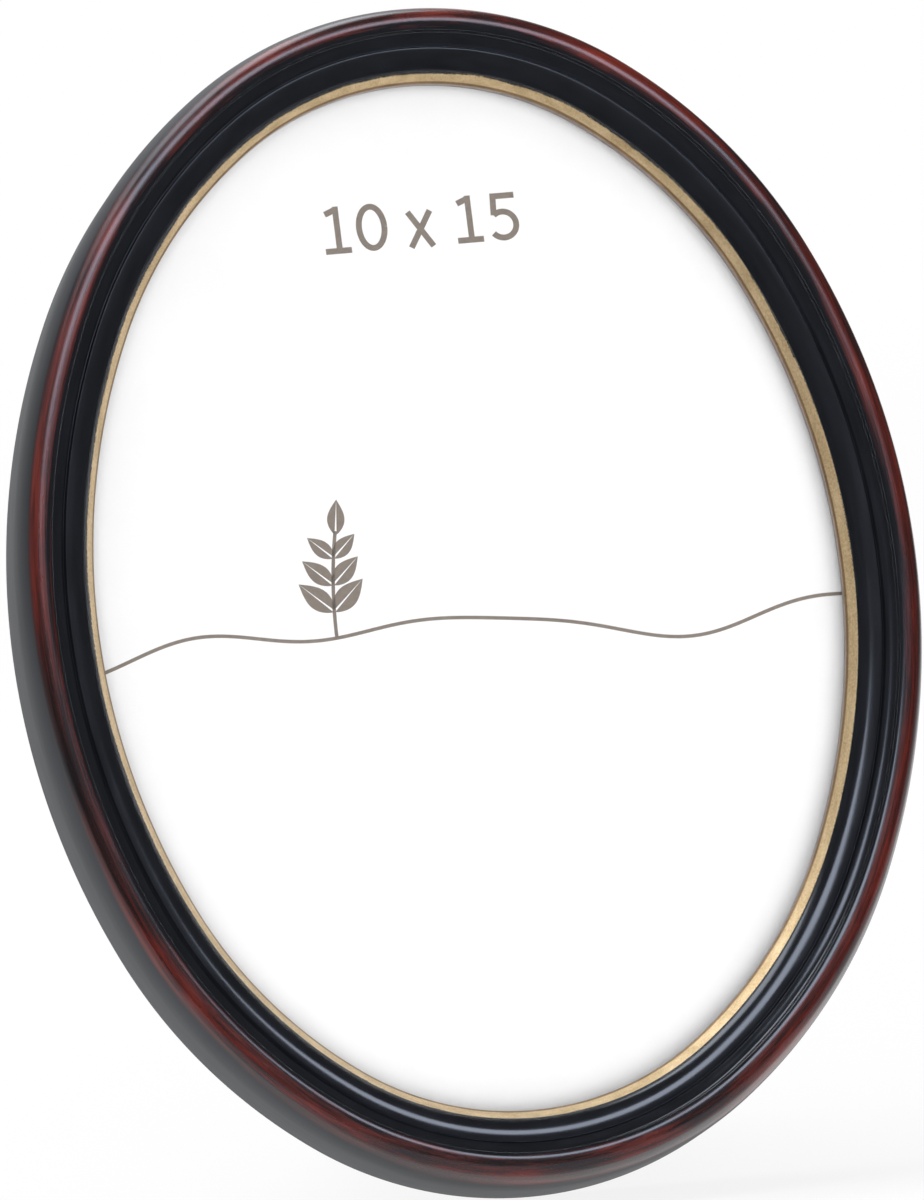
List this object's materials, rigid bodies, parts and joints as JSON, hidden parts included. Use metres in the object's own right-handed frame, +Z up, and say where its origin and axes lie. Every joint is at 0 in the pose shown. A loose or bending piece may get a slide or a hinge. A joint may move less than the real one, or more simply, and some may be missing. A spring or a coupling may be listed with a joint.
{
  "type": "oval picture frame",
  "caption": "Oval table picture frame: black, mahogany and gold moulding over glass and print, with a hinged easel strut and a hanging ring behind.",
  "frame": {"origin": "middle of the bounding box in X and Y, on the table; the frame leans back 17 degrees on its open easel strut", "axes": "+X to the right seen from the front, -Y towards the viewer, +Z up"},
  "size_m": [0.1268, 0.0704, 0.1624],
  "materials": {
    "moulding": "satin lacquer: black, with a mahogany bead and a gold sight edge",
    "glass": "polished clear pane",
    "print_paper": "matt white card with a thin taupe print",
    "grey_card": "raw grey board",
    "hardboard": "tempered hardboard, smooth",
    "hinge_steel": "zinc-plated sheet",
    "button_steel": "nickel-plated sheet",
    "plated_steel": "bright plated",
    "brassed_steel": "brass-plated"
  },
  "bodies": {
    "frame": {"moulding": "moulding", "glass": "glass", "print_insert": "print_paper", "filler_card": "grey_card", "back_board": "hardboard", "turn_button_screws": "plated_steel", "hinge_board_leaf": "hinge_steel", "hinge_pin": "plated_steel", "board_rivets": "plated_steel", "hanger_strap": "brassed_steel", "hanger_rivet": "brassed_steel"},
    "easel": {"easel_strut": "hardboard", "hinge_strut_leaf": "hinge_steel", "strut_rivets": "plated_steel"},
    "hanging_ring": {"hanger_ring": "brassed_steel"},
    "button_upper_right": {"turn_button_upper_right": "button_steel"},
    "button_upper_left": {"turn_button_upper_left": "button_steel"},
    "button_lower_left": {"turn_button_lower_left": "button_steel"},
    "button_lower_right": {"turn_button_lower_right": "button_steel"}
  },
  "joints": [
    {"name": "easel_hinge", "type": "hinge", "parent": "frame", "child": "easel", "pos_m": [0, 0.01226, 0.103], "axis": [1, 0, 0], "range_deg": [-29, 0]},
    {"name": "ring_swing", "type": "hinge", "parent": "frame", "child": "hanging_ring", "pos_m": [0, 0.02236, 0.13756], "axis": [1, 0, 0], "range_deg": [-16, 162]},
    {"name": "button_upper_right_turn", "type": "hinge", "parent": "frame", "child": "button_upper_right", "pos_m": [0.04307, 0.01997, 0.13198], "axis": [0, 0.9563, -0.2924], "continuous": true},
    {"name": "button_upper_left_turn", "type": "hinge", "parent": "frame", "child": "button_upper_left", "pos_m": [-0.04307, 0.01997, 0.13198], "axis": [0, 0.9563, -0.2924], "continuous": true},
    {"name": "button_lower_left_turn", "type": "hinge", "parent": "frame", "child": "button_lower_left", "pos_m": [-0.04307, -0.01217, 0.02685], "axis": [0, 0.9563, -0.2924], "continuous": true},
    {"name": "button_lower_right_turn", "type": "hinge", "parent": "frame", "child": "button_lower_right", "pos_m": [0.04307, -0.01217, 0.02685], "axis": [0, 0.9563, -0.2924], "continuous": true}
  ]
}
